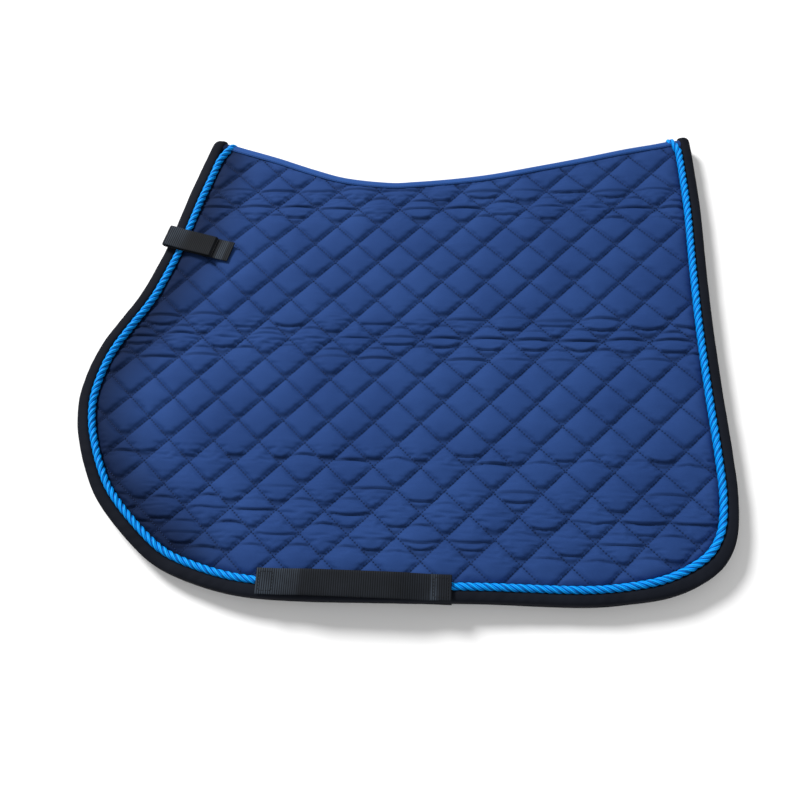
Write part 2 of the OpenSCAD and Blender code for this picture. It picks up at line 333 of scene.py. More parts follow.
# ---- materials
class Shader:
    """A Principled material with small helpers for its texture nodes."""

    def __init__(self, name, roughness, sheen=0.0, specular=0.3):
        self.material = bpy.data.materials.new(name)
        self.material.use_nodes = True
        self.tree = self.material.node_tree
        self.nodes, self.links = self.tree.nodes, self.tree.links
        self.bsdf = self.nodes["Principled BSDF"]
        self.bsdf.inputs["Roughness"].default_value = roughness
        self.bsdf.inputs["Sheen Weight"].default_value = sheen
        self.bsdf.inputs["Specular IOR Level"].default_value = specular
        self.place = self.nodes.new("ShaderNodeTexCoord").outputs["Object"]

    def node(self, kind, **values):
        n = self.nodes.new(kind)
        for key, value in values.items():
            setattr(n, key, value)
        return n

    def link(self, a, b):
        self.links.new(a, b)

    def mapped(self, scale):
        m = self.node("ShaderNodeMapping")
        m.inputs["Scale"].default_value = scale
        self.link(self.place, m.inputs["Vector"])
        return m.outputs["Vector"]

    def noise(self, scale, detail=3.0, place=None, roughness=0.5):
        n = self.node("ShaderNodeTexNoise")
        n.inputs["Scale"].default_value = scale
        n.inputs["Detail"].default_value = detail
        n.inputs["Roughness"].default_value = roughness
        self.link(place or self.place, n.inputs["Vector"])
        return n.outputs["Fac"]

    def wave(self, scale, direction):
        n = self.node("ShaderNodeTexWave", wave_type="BANDS", bands_direction=direction)
        n.inputs["Scale"].default_value = scale
        self.link(self.place, n.inputs["Vector"])
        return n.outputs["Fac"]

    def math(self, operation, a, b=None):
        n = self.node("ShaderNodeMath", operation=operation)
        for socket, value in zip(n.inputs, (a, b)):
            if value is None:
                continue
            if isinstance(value, (int, float)):
                socket.default_value = value
            else:
                self.link(value, socket)
        return n.outputs[0]

    def ramp(self, value, stops):
        n = self.node("ShaderNodeValToRGB")
        n.color_ramp.elements[0].position, n.color_ramp.elements[0].color = stops[0]
        n.color_ramp.elements[1].position, n.color_ramp.elements[1].color = stops[-1]
        for position, colour in stops[1:-1]:
            n.color_ramp.elements.new(position).color = colour
        self.link(value, n.inputs["Fac"])
        return n.outputs["Color"]

    def attribute(self, name):
        return self.node("ShaderNodeAttribute", attribute_name=name).outputs["Fac"]

    def seam_distance(self):
        """Distance to the nearest quilting seam, as a share of a cell's side, nearer at each needle hole."""
        near = []
        for across, along in (("lattice_s", "lattice_t"), ("lattice_t", "lattice_s")):
            holes = self.math("SINE", self.math("MULTIPLY", self.attribute(along), FULL_TURN / STITCH_SHARE))
            gap = self.math("MULTIPLY", self.math("ADD", holes, 1.0), 0.018)
            away = self.math("PINGPONG", self.math("ADD", self.attribute(across), 40.0), 0.5)
            near.append(self.math("ADD", away, gap))
        return self.math("MINIMUM", *near)

    def multiply(self, a, b, amount=1.0):
        n = self.node("ShaderNodeMix", data_type="RGBA", blend_type="MULTIPLY")
        n.inputs["Factor"].default_value = amount
        self.link(a, n.inputs[6])
        self.link(b, n.inputs[7])
        return n.outputs[2]

    def colour(self, value):
        self.link(value, self.bsdf.inputs["Base Color"])

    def bump(self, height, strength, distance):
        n = self.node("ShaderNodeBump")
        n.inputs["Strength"].default_value = strength
        n.inputs["Distance"].default_value = distance
        self.link(height, n.inputs["Height"])
        self.link(n.outputs["Normal"], self.bsdf.inputs["Normal"])

    def rough(self, value, low, high):
        n = self.node("ShaderNodeMapRange")
        n.inputs["To Min"].default_value = low
        n.inputs["To Max"].default_value = high
        self.link(value, n.inputs["Value"])
        self.link(n.outputs["Result"], self.bsdf.inputs["Roughness"])


def grey(v):
    return (v, v, v, 1)


FULL_TURN = 6.2832
STITCH_PITCH = 3.3
CELL_SIDE = 33.9
STITCH_SHARE = STITCH_PITCH / CELL_SIDE


def woven(name, dark, light, thread_scale, roughness, specular, quilted=False):
    """Plain woven cloth: crossing threads, slow colour drift and small slubs. Where it is quilted,
    painted shade darkens it along the seams and at each needle hole, and the attribute "shade" adds more
    painted shade and shadow."""
    s = Shader(name, roughness, specular=specular)
    drift = s.noise(16.0, 4.0)
    slubs = s.noise(340.0, 2.0, s.mapped((1.0, 6.0, 1.0)))
    blend = s.math("ADD", s.math("MULTIPLY", drift, 0.7), s.math("MULTIPLY", slubs, 0.3))
    base = s.ramp(blend, [(0.32, dark), (0.68, light)])
    warp = s.wave(thread_scale, "X")
    weft = s.wave(thread_scale, "Y")
    threads = s.math("MAXIMUM", warp, weft)
    tint = s.ramp(threads, [(0.0, grey(0.82)), (1.0, grey(1.0))])
    cloth = s.multiply(base, tint, 0.8)
    if quilted:
        # painted shade and shadow from the attribute "shade", then painted shade in the seam grooves and at
        # the needle holes
        cloth = s.multiply(cloth, s.attribute("shade"))
        cloth = s.multiply(cloth, s.ramp(s.seam_distance(), [(0.0, grey(0.4)), (0.02, grey(0.62)),
                                                             (0.05, grey(1.0))]))
    s.colour(cloth)
    s.rough(slubs, roughness - 0.08, min(1.0, roughness + 0.08))
    s.bump(s.math("ADD", threads, s.math("MULTIPLY", slubs, 0.6)), 0.25, 0.0002)
    return s.material


def rope_material():
    """Satin rope: bright yarns that run along each strand, with painted shade in the grooves and a painted
    highlight on top of each strand.
    """
    s = Shader("rope_satin", 0.55, specular=0.1)
    depth = s.attribute("groove")
    yarn = s.attribute("yarn")
    lines = s.math("ADD", s.math("MULTIPLY", s.math("SINE", s.math("MULTIPLY", yarn, FULL_TURN)), 0.5), 0.5)
    fleck = s.noise(700.0, 2.0)
    # depth runs from 0 in a groove to 1 on a strand's top: painted shade in the grooves, painted highlight on
    # the strand tops
    base = s.ramp(depth, [(0.0, (0.0, 0.035, 0.26, 1)), (0.3, (0.0, 0.21, 0.75, 1)),
                          (1.0, (0.002, 0.36, 1.0, 1))])
    tint = s.ramp(s.math("ADD", s.math("MULTIPLY", lines, 0.6), s.math("MULTIPLY", fleck, 0.4)),
                  [(0.2, grey(0.35)), (0.65, grey(1.0))])
    s.colour(s.multiply(base, tint, 0.9))
    s.rough(fleck, 0.42, 0.6)
    s.bump(lines, 0.5, 0.0004)
    return s.material


def webbing_material():
    """Ribbed nylon webbing: the ribs are in the mesh, and the crests carry a painted highlight."""
    s = Shader("ribbed_webbing", 0.6, specular=0.06)
    fleck = s.noise(420.0, 3.0)
    patches = s.noise(28.0, 2.0)
    # painted highlight on the rib crests, patchy along the strap
    painted_crest_highlight = s.math("MULTIPLY", s.attribute("rib_painted_highlight"), s.math("ADD", s.math("MULTIPLY", patches, 0.9), 0.25))
    value = s.math("ADD", s.math("MULTIPLY", painted_crest_highlight, 0.85), s.math("MULTIPLY", fleck, 0.15))
    s.colour(s.ramp(value, [(0.1, (0.0036, 0.0040, 0.0046, 1)), (0.62, (0.0128, 0.0155, 0.0205, 1)),
                            (1.0, (0.034, 0.044, 0.058, 1))]))
    s.rough(fleck, 0.52, 0.7)
    s.bump(fleck, 0.2, 0.0002)
    return s.material


def hook_material(name, scale):
    """Hook or loop tape: a mat of small dark tufts."""
    s = Shader(name, 0.8, 0.2)
    tufts = s.noise(scale, 2.0)
    s.colour(s.ramp(tufts, [(0.3, (0.004, 0.004, 0.005, 1)), (0.7, (0.03, 0.03, 0.034, 1))]))
    s.rough(tufts, 0.7, 0.95)
    s.bump(tufts, 0.8, 0.0006)
    return s.material


def wadding_material():
    """White polyester filling."""
    s = Shader("white_wadding", 0.95, 0.3)
    fluff = s.noise(120.0, 6.0, roughness=0.7)
    s.colour(s.ramp(fluff, [(0.25, (0.62, 0.62, 0.6, 1)), (0.75, (0.9, 0.9, 0.88, 1))]))
    s.rough(fluff, 0.85, 1.0)
    s.bump(fluff, 0.7, 0.002)
    return s.material


def thread_material(name, dark, light):
    """Twisted sewing thread."""
    s = Shader(name, 0.7, specular=0.15)
    twist = s.wave(900.0, "DIAGONAL")
    s.colour(s.ramp(twist, [(0.0, dark), (1.0, light)]))
    s.rough(twist, 0.5, 0.7)
    s.bump(twist, 0.3, 0.0001)
    return s.material


COVER = woven("cover_cotton", (0.0125, 0.038, 0.142, 1), (0.0185, 0.0525, 0.182, 1), 520.0, 0.8, 0.08,
              quilted=True)
LINING_DARK, LINING_LIGHT = (0.011, 0.032, 0.120, 1), (0.016, 0.043, 0.150, 1)
LINING = woven("lining_cotton", LINING_DARK, LINING_LIGHT, 400.0, 0.85, 0.06, quilted=True)
TURNING = woven("seam_turning_cotton", LINING_DARK, LINING_LIGHT, 400.0, 0.85, 0.06)
BINDING = woven("binding_twill", (0.0045, 0.0056, 0.0092, 1), (0.0085, 0.0105, 0.0165, 1), 430.0, 0.8, 0.07)
TAPE = woven("spine_tape", (0.014, 0.059, 0.22, 1), (0.02, 0.074, 0.265, 1), 520.0, 0.7, 0.1)
ROPE = rope_material()
WADDING = wadding_material()
WEBBING = webbing_material()
HOOKS = hook_material("hook_side", 900.0)
LOOPS = hook_material("loop_side", 420.0)
QUILT_THREAD = thread_material("quilting_thread", (0.008, 0.022, 0.085, 1), (0.014, 0.037, 0.13, 1))
BLACK_THREAD = thread_material("black_thread", (0.004, 0.004, 0.005, 1), (0.03, 0.03, 0.034, 1))
TAPE_THREAD = thread_material("tape_thread", (0.01, 0.03, 0.13, 1), (0.02, 0.055, 0.2, 1))

# ---- quilted cloth
SEAM_Z = 22.3
EDGE_Z = FLANGE_Z + CLOTH_T
SPINE_Z = 24.6
SPINE_RADIUS = 9.0


def seam_level(x, y, d_edge, d_spine):
    """Height of the cover where it is stitched flat."""
    inside = smooth((d_edge - binding_width(x, y) - ROPE_R) / 9.0)
    level = mix(EDGE_Z, SEAM_Z, inside)
    return mix(SPINE_Z, level, smooth((d_spine - 9.5) / 8.0))


def puff_room(x, y, d_edge, d_spine):
    """From 0 at the trims to 1 inside the flap: how far the quilting may puff up."""
    edge = smooth((d_edge - binding_width(x, y) - ROPE_R - 1.0) / 11.0)
    return edge * smooth((d_spine - 10.5) / 11.0)


def puff_shape(s, t):
    """A pillow over each cell of the lattice: flat on top, steepest where it hangs over a rising seam."""
    u, v = s - np.floor(s), t - np.floor(t)
    return (1 - (1 - u) ** 5) * (1 - u ** 24) * (1 - np.abs(2 * v - 1) ** 11)


def past_corner(x, y, s, t):
    """How far a place lies past the round lower end of its pillow, as a share of a cell's side."""
    i, j = np.floor(s), np.floor(t)
    slack = np.clip(sum(share * np.exp(-((lattice_xy(i + 0.5, j + 0.5)[1] - 18 - at) / (reach + 12)) ** 2)
                        for at, reach, share in SPARE_BANDS) / 0.13, 0, 1)
    r = 0.12 + 0.26 * cell_random(i, j, 12) + 0.14 * slack
    in_s = np.maximum(s - i - (1 - r), 0)
    in_t = np.maximum(r - (t - j), 0)
    return np.where((in_s > 0) & (in_t > 0), np.hypot(in_s, in_t) - r, -r)


def rounded_foot(x, y, s, t):
    """From 1 on the pillow to 0 in the slack corner under it, where the pillow's lower end is round."""
    return smooth(-past_corner(x, y, s, t) / 0.09)


# Cloth that is too long lies in folds. Each band is its middle's Y, its reach and its share of spare length.
SPARE_EVERYWHERE = 0.01
SPARE_ACROSS = 0.01
SPARE_BANDS = [(180, 17, 0.13), (8, 21, 0.13), (-127, 6, 0.15), (-186, 24, 0.1), (-222, 8, 0.1)]
# Where folds start: each line's Y, its depth, and how much of the flap's length it shows on.
FOLD_LINES = [(197, 1.3, 0.6), (186, 1.7, 0.7), (174, 1.8, 0.75), (162, 1.3, 0.6),
              (32, 1.3, 0.7), (21, 1.8, 0.8), (9, 2.0, 0.85), (-3, 1.9, 0.8), (-15, 1.3, 0.6),
              (-127, 2.0, 0.8), (-160, 1.1, 0.45), (-173, 1.4, 0.55), (-186, 1.7, 0.65), (-198, 1.5, 0.55),
              (-211, 1.1, 0.45), (-222, 1.9, 0.75)]
FOLD_DEPTH = 1.45
FOLD_STEEP = 1.1
FOLD_GENTLE = 4.5
FOLD_ARCH = 0.03
DOME = 1.7
SIM_SCALE = 20.0
SIM_FRAMES = 16
SIM_SETTINGS = {
    "vertex_group_mass": "held", "use_pressure": True, "uniform_pressure_force": 2.0, "quality": 3,
    "mass": 0.15, "bending_stiffness": 0.02, "tension_stiffness": 15.0, "compression_stiffness": 15.0,
    "shear_stiffness": 5.0}


def stretched_y(y):
    """Y of the cloth before it was gathered, with the spare length of the bands in it."""
    at = np.linspace(-300, 300, 2401)
    spare = np.full(len(at), SPARE_EVERYWHERE)
    for middle, reach, share in SPARE_BANDS:
        spare += share * np.exp(-((at - middle) / reach) ** 2)
    long_y = np.cumsum(1 + spare) * (at[1] - at[0])
    return np.interp(y, at, long_y - np.interp(0, at, long_y))


def gathered(points, held, faces):
    """Cloth simulation: long cloth, held along its seams, is gathered to size while air pressure
    puffs it up. It runs at a larger scale, where the solver behaves well."""
    scale = MM * SIM_SCALE
    start = np.column_stack([points[:, 0] * (1 + SPARE_ACROSS), stretched_y(points[:, 1]), points[:, 2]])
    mesh = bpy.data.meshes.new("gather")
    mesh.from_pydata((start * scale).tolist(), [], faces)
    cloth = bpy.data.objects.new("gather", mesh)
    scene = bpy.context.scene
    scene.collection.objects.link(cloth)
    group = cloth.vertex_groups.new(name="held")
    group.add([int(i) for i in held], 1.0, "REPLACE")
    cloth.shape_key_add(name="Basis")
    key = cloth.shape_key_add(name="gathered")
    key.data.foreach_set("co", (points * scale).ravel().astype(np.float32))
    key.value = 0.0
    key.keyframe_insert("value", frame=1)
    key.value = 1.0
    key.keyframe_insert("value", frame=SIM_FRAMES // 2)
    modifier = cloth.modifiers.new("cloth", "CLOTH")
    for setting, value in SIM_SETTINGS.items():
        setattr(modifier.settings, setting, value)
    modifier.settings.effector_weights.gravity = 0.0
    modifier.collision_settings.use_collision = False
    modifier.collision_settings.use_self_collision = False
    modifier.point_cache.frame_start = 1
    modifier.point_cache.frame_end = SIM_FRAMES
    for frame_number in range(1, SIM_FRAMES + 1):
        scene.frame_set(frame_number)
    shaped = cloth.evaluated_get(bpy.context.evaluated_depsgraph_get())
    out = np.zeros(len(points) * 3, np.float32)
    shaped.data.vertices.foreach_get("co", out)
    bpy.data.objects.remove(cloth)
    bpy.data.meshes.remove(mesh)
    scene.frame_set(1)
    return out.reshape(-1, 3).astype(float) / scale


def dome_shape(s, t):
    u, v = s - np.floor(s), t - np.floor(t)
    return (1 - (2 * u - 1) ** 2) * (1 - (2 * v - 1) ** 2)


def fold_seeds(x, y, s, t):
    """Shallow valleys that the gathering deepens, and each crease's core, which carries painted shadow. They
    arch away from each cell's middle.
    """
    i, j = np.floor(s), np.floor(t)
    middle_x, middle_y = lattice_xy(i + 0.5, j + 0.5)
    out, core = np.zeros(len(x)), np.zeros(len(x))
    for k, (line, depth, share) in enumerate(FOLD_LINES):
        shown = cell_random(i, j, 3 * k + 20) < share
        height = line + 6.5 * (cell_random(i, j, 3 * k + 21) - 0.5) - middle_y
        arch = np.clip(height / HALF_DIAGONAL, -0.6, 0.25) * (0.4 + cell_random(i, j, 3 * k + 23))
        arched = arch * FOLD_ARCH * (x - middle_x) ** 2
        above = y - middle_y - height + arched
        valley = np.where(above > 0, np.exp(-(above / FOLD_STEEP) ** 2), np.exp(above / FOLD_GENTLE))
        depth = FOLD_DEPTH * shown * depth * (0.25 + 1.3 * cell_random(i, j, 3 * k + 22))
        out += depth * valley
        core += depth * np.exp(-((above - 0.4) / 1.3) ** 2)
    return out, core


def cover_height(x, y, s, t, d_edge, d_spine, puff, folds=0.0):
    room = puff_room(x, y, d_edge, d_spine)
    i, j = np.floor(s), np.floor(t)
    size = 0.88 + 0.2 * cell_random(i, j, 11)
    lumps = wave_noise(x, y, 46, 30, 3) * 0.3 + wave_noise(x, y, 60, 9, 5) * 0.12
    shape = puff_shape(s, t)
    puffed = shape * (puff * size + lumps) + DOME * dome_shape(s, t)
    puffed *= mix(0.35, 1.0, rounded_foot(x, y, s, t))
    valleys = folds * fold_seeds(x, y, s, t)[0] * np.clip(1.5 * shape, 0, 1)
    puckers = 0.45 * np.exp(-((d_spine - 14.0) / 3.0) ** 2) * wave_noise(y * 0.1, x, 30, 6.5, 9)
    return seam_level(x, y, d_edge, d_spine) + room * (puffed - valleys) + puckers


FAR_OUTSIDE = -99.0


def lattice_line(low, high, per_cell):
    """Even steps that take in low and high, with every whole number exact."""
    low, high = math.floor(low), math.ceil(high)
    steps = np.arange(low, high)[:, None] + np.arange(per_cell) / per_cell
    return np.append(steps.ravel(), high)


def quilt_grid(per_cell, edge_margin, spine_margin):
    """Points and faces of the flap, lined up with the quilting seams, further inside the edge
    and the spine than the margins say."""
    corners = np.array([lattice_st(x, y) for x in (-360.0, 360.0) for y in (-300.0, 300.0)])
    s_line, t_line = (lattice_line(c.min(), c.max(), per_cell) for c in corners.T)
    ns, nt = len(s_line), len(t_line)
    s, t = np.repeat(s_line, nt), np.tile(t_line, ns)
    x, y = lattice_xy(s, t)
    near = (np.abs(x) < 345) & (np.abs(y) < 280)
    d_edge = np.full(len(x), FAR_OUTSIDE)
    d_spine = np.full(len(x), FAR_OUTSIDE)
    d_edge[near] = distance_to(EDGE, x[near], y[near])
    d_spine[near] = -distance_to(SPINE, x[near], y[near])
    a = (np.arange(ns - 1)[:, None] * nt + np.arange(nt - 1)[None, :]).ravel()
    # every square of the grid is split along its level diagonal, so folds can run level
    faces = np.vstack([np.stack([a, a + 1, a + nt + 1], axis=1), np.stack([a, a + nt + 1, a + nt], axis=1)])
    inside = ((d_edge[faces] > edge_margin) & (d_spine[faces] > spine_margin)).all(axis=1)
    faces = faces[inside]
    used = np.unique(faces)
    index = np.full(len(x), -1)
    index[used] = np.arange(len(used))
    faces = index[faces]
    x, y = x[used], y[used]
    a, b, c = faces[0]
    if (x[b] - x[a]) * (y[c] - y[a]) < (y[b] - y[a]) * (x[c] - x[a]):  # turned to look up
        faces = faces[:, ::-1]
    return x, y, s[used], t[used], d_edge[used], d_spine[used], [tuple(int(v) for v in f) for f in faces]


def wadding_top(x, y, s, t, d_edge, d_spine):
    return seam_level(x, y, d_edge, d_spine) - 1.8 + 2.0 * puff_shape(s, t) * puff_room(x, y, d_edge, d_spine)


def over_the_spine(z, d_spine):
    """Cloth close to the spine rounds over towards the other flap."""
    return MID_Z + (z - MID_Z) * spine_round(d_spine, SPINE_RADIUS)


MOST_DRIFT = 4.0
START_PUFF = 3.0
UNDER_TAPE = 11.5
WELL_INSIDE = 40.0
SOFT_TOP = 1.5


def usual_lift(lift, place, counted):
    """The average lift at each place within a cell, taken over the whole flap."""
    total = np.bincount(place[counted], weights=lift[counted], minlength=place.max() + 1)
    number = np.bincount(place[counted], minlength=place.max() + 1)
    return (total / np.maximum(number, 1))[place]


def covers():
    """The cover: the cloth simulation's shape, kept off the wadding and rounded over the spine."""
    per_cell = 16
    x, y, s, t, d_edge, d_spine, faces = quilt_grid(per_cell, 4.0, 1.2)
    z = cover_height(x, y, s, t, d_edge, d_spine, START_PUFF, folds=1.0)
    seam = np.minimum(np.abs(s - np.round(s)), np.abs(t - np.round(t))) < 0.3 / per_cell
    place = np.round((s - np.floor(s)) * per_cell) * (per_cell + 1) + np.round((t - np.floor(t)) * per_cell)
    trimmed = (d_edge < binding_width(x, y) + 2 * ROPE_R - 1.0) | (d_spine < UNDER_TAPE)
    flat = np.column_stack([x, y, z])
    shaped = gathered(flat, np.flatnonzero(seam | trimmed), faces)
    drift = shaped - flat
    drift[:, :2] = np.clip(drift[:, :2], -MOST_DRIFT, MOST_DRIFT)
    lift = usual_lift(drift[:, 2], place.astype(int), (d_edge > WELL_INSIDE) & (d_spine > WELL_INSIDE))
    drift[:, 2] -= lift * puff_room(x, y, d_edge, d_spine)
    shaped = flat + drift
    over = np.maximum(shaped[:, 2] - (COVER_TOP - 1.0), 0)
    shaped[:, 2] = np.maximum(shaped[:, 2] - over + SOFT_TOP * np.tanh(over / SOFT_TOP), FLANGE_Z + 0.6)
    under = wadding_top(shaped[:, 0], shaped[:, 1], *lattice_st(shaped[:, 0], shaped[:, 1]), d_edge, d_spine)
    shaped[:, 2] = np.maximum(shaped[:, 2], np.where(d_spine > 12, under + 0.5, 0))
    shaped[:, 2] = over_the_spine(shaped[:, 2], d_spine)
    # Painted shade and shadow, carried by the attribute "shade": painted shadow in the fold creases and under
    # the round foot of each pillow, painted shade on the steep side of each pillow at its rising seam, and
    # painted shade towards the front edge.
    fold_painted_shadow = 0.42 * np.clip(fold_seeds(x, y, s, t)[1] / 2.2, 0, 1) * np.clip(1.5 * puff_shape(s, t), 0, 1)
    front_painted_shade = 0.8 * (1 - smooth((d_edge - 10) / 80)) * smooth((-130 - x) / 80)
    foot_painted_shadow = 0.42 * np.exp(-((past_corner(x, y, s, t) - 0.01) / 0.05) ** 2)
    some = cell_random(np.floor(s), np.floor(t), 13)
    seam_side_painted_shade = (0.1 + 0.22 * some) * smooth((s - np.floor(s) - 0.93) / 0.05)
    shade = (1 - fold_painted_shadow) * (1 - front_painted_shade) * (1 - foot_painted_shadow) * (1 - seam_side_painted_shade)
    attributes = (("lattice_s", s), ("lattice_t", t), ("shade", shade))
    return on_both_flaps("quilted_cover", shaped, faces, COVER,
                         ["left_cover", "left_cover_top"], ["right_cover"], attributes)


def lining_height(x, y, s, t, d_edge, d_spine):
    u, v = s - np.floor(s), t - np.floor(t)
    pillow = (1 - np.abs(2 * u - 1) ** 5) * (1 - np.abs(2 * v - 1) ** 5)
    return INNER_Z + 1.9 - 1.7 * pillow * puff_room(x, y, d_edge, d_spine)


def linings():
    """The plain cloth inside, quilted through, with shallow puffs."""
    x, y, s, t, d_edge, d_spine, faces = quilt_grid(8, 3.0, 1.2)
    low = over_the_spine(lining_height(x, y, s, t, d_edge, d_spine), d_spine)
    verts = np.stack([x, y, low], axis=1)
    faces = [tuple(reversed(f)) for f in faces]
    attributes = (("lattice_s", s), ("lattice_t", t), ("shade", np.ones(len(x))))
    return on_both_flaps("quilted_lining", verts, faces, LINING,
                         ["left_lining", "left_lining_top"], ["right_lining"], attributes)


def waddings():
    """The filling between cover and lining, thin at each seam."""
    x, y, s, t, d_edge, d_spine, faces = quilt_grid(8, 19.0, 10.0)
    low = lining_height(x, y, s, t, d_edge, d_spine) + 0.3
    top = np.maximum(wadding_top(x, y, s, t, d_edge, d_spine), low + 0.15)
    n = len(x)
    verts = np.vstack([np.stack([x, y, top], axis=1), np.stack([x, y, low], axis=1)])
    edges = dict.fromkeys(edge for f in faces for edge in zip(f, f[1:] + f[:1]))
    rim = [(a, b) for a, b in edges if (b, a) not in edges]
    all_faces = faces + [tuple(v + n for v in reversed(f)) for f in faces]
    all_faces += [(b, a, a + n, b + n) for a, b in rim]
    for piece in on_both_flaps("wadding_fill", verts, all_faces, WADDING,
                               ["left_wadding", "left_wadding_top"], ["right_wadding"]):
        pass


# ---- binding and rope round the edge
def edge_stations(step):
    """Points on the outer edge up to the spine, with the direction inwards at each."""
    line = curve(EDGE_KNOTS, step)
    inwards = left_of(headings(line))
    keep = line[:, 1] < spine_y(line[:, 0])
    first, last = np.flatnonzero(keep)[[0, -1]]
    return line[max(first - 2, 0):last + 3], inwards[max(first - 2, 0):last + 3]


def bindings():
    line, inwards = edge_stations(2.2)
    length = length_along(line)[:, None]
    around = 26
    low = INNER_Z + 0.1
    mid = low + 2.2
    top_z = 26.4 + 0.35 * np.sin(length / 7.3) * np.sin(length / 23.0 + 1.0)
    angle = 2 * np.pi * np.arange(around) / around
    level, rise = np.cos(angle), np.sin(angle)
    above = np.maximum(rise, 0.0)
    width = binding_width(line[:, 0], line[:, 1])[:, None] + 0.7
    from_edge = width / 2 * (1 - np.copysign(np.abs(level) ** 0.75, level))
    crease = 0.22 * np.sin(length / 2.1 + 2.5 * level) * above * np.sin(length / 31.0)
    z = np.where(rise > 0, mid + (top_z - mid) * above ** 0.62 + crease, mix(mid, low, np.abs(rise) ** 0.5))
    verts = rings_beside(line, inwards, from_edge, z).reshape(-1, 3)
    # the ends over the spine are round at the outer edge
    round_off = 1 - np.clip(from_edge.ravel() / 8.0, 0, 1)
    top = spine_y(verts[:, 0]) + mix(-3.4, 2.4, np.sqrt(1 - round_off ** 2))
    d_spine = np.maximum(top - verts[:, 1], 0.0) + 0.35
    verts[:, 1] = np.minimum(verts[:, 1], top)
    verts[:, 2] = MID_Z + (verts[:, 2] - MID_Z) * spine_round(d_spine, 8.5)
    faces = strip_faces(len(line), around, caps=True)
    on_both_flaps("edge_binding", verts, faces, BINDING, ["left_binding"], ["edge_binding"])


ROPE_TURN_R = ROPE_Z - MID_Z
ROPE_LAY = 24.2
STRANDS = 3
# At the front and the rear end of the spine the rope leans in: how far, and over what length.
ROPE_LEANS = ((6.0, 22.0), (5.0, 15.0))
ROPE_PROUD = 3.0


def rope_line(step):
    """The rope's centre on the left flap, from the turn over one spine end to the other."""
    line = curve(EDGE_KNOTS, 2.0)
    inwards = left_of(headings(line))
    inset = binding_width(line[:, 0], line[:, 1]) + ROPE_R
    centre = line + inwards * inset[:, None]
    room = spine_y(centre[:, 0]) - centre[:, 1] - ROPE_TURN_R - ROPE_R + ROPE_PROUD
    keep = np.flatnonzero(room > 0)
    centre, inwards = centre[keep[0]:keep[-1] + 1], inwards[keep[0]:keep[-1] + 1]
    run = length_along(centre)
    to_end = np.minimum(run, run[-1] - run)
    for near_end, (lean, over) in ((run < run[-1] / 2, ROPE_LEANS[0]), (run >= run[-1] / 2, ROPE_LEANS[1])):
        shift = near_end * lean * (1 - np.clip(to_end / over, 0, 1)) ** 1.7
        centre = centre + inwards * shift[:, None]
    flat = np.column_stack([centre, np.full(len(centre), ROPE_Z)])
    first, last = headings(centre)[0], headings(centre)[-1]

    def turn(end, out):
        a = np.radians(np.arange(6, 91, 6))[:, None]
        return np.hstack([end + out * ROPE_TURN_R * np.sin(a), MID_Z + ROPE_TURN_R * np.cos(a)])

    start = turn(centre[0], -first)[::-1]
    end = turn(centre[-1], last)
    path = even(np.vstack([start, flat, end]), step)
    # the direction across the rope stays level, also over the turns
    run = np.gradient(path[:, :2], axis=0)
    keep_first, keep_last = left_of(first[None])[0], left_of(last[None])[0]
    side = left_of(run / np.maximum(np.linalg.norm(run, axis=1), 1e-6)[:, None])
    steep = np.abs(np.gradient(path[:, 2])) > 0.35 * step
    half = len(path) // 2
    side[:half][steep[:half]] = keep_first
    side[half:][steep[half:]] = keep_last
    return path, side


def ropes():
    path, side = rope_line(1.2)
    run = headings(path)
    across = np.column_stack([side, np.zeros(len(side))])
    up = np.cross(run, across)
    up /= np.linalg.norm(up, axis=1)[:, None]
    across = np.cross(up, run)
    length = length_along(path)
    per_strand = 10
    around = STRANDS * per_strand
    angle = 2 * np.pi * np.arange(around) / around
    half = np.pi / STRANDS
    from_centre = (angle + half) % (2 * half) - half
    strand_r = 0.62
    reach = 0.40
    radius = reach * np.cos(from_centre) + np.sqrt(
        np.maximum(strand_r ** 2 - (reach * np.sin(from_centre)) ** 2, 0))
    radius = radius / radius.max()
    # level is 1 on top of a strand and 0 in the groove beside it
    level = (radius - radius.min()) / (1 - radius.min())
    turn = 2 * np.pi * length / ROPE_LAY
    phase = angle[None, :] + turn[:, None]
    r = ROPE_R * 0.97 * radius[None, :]
    verts = (path[:, None, :] + (r * np.cos(phase))[..., None] * across[:, None, :]
             + (r * np.sin(phase))[..., None] * up[:, None, :]).reshape(-1, 3)
    faces = strip_faces(len(path), around, caps=True)
    # the attribute "groove" carries each strand's level, which the rope material turns into painted shade and
    # painted highlight
    groove = np.tile(level, len(path))
    yarn = (from_centre[None, :] / half * 1.5 + length[:, None] / 17.0).ravel()
    on_both_flaps("rope", verts, faces, ROPE, ["left_rope_trim"], ["rope_trim"],
                  (("groove", groove), ("yarn", yarn)))


# ---- spine tape
TAPE_CLOTH = 0.7


def tape_width(x):
    return mix(11.0, 10.2, smooth((x + 200) / 480))


def tape_sections():
    """Stations along the spine between the two ropes, with the direction down the flap."""
    line = curve(SPINE_KNOTS, 2.5)
    down = -left_of(headings(line))
    d_edge = distance_to(EDGE, line[:, 0], line[:, 1])
    keep = np.flatnonzero(d_edge > binding_width(line[:, 0], line[:, 1]) + 2 * ROPE_R + 2.4)
    return line[keep[0]:keep[-1] + 1], down[keep[0]:keep[-1] + 1]


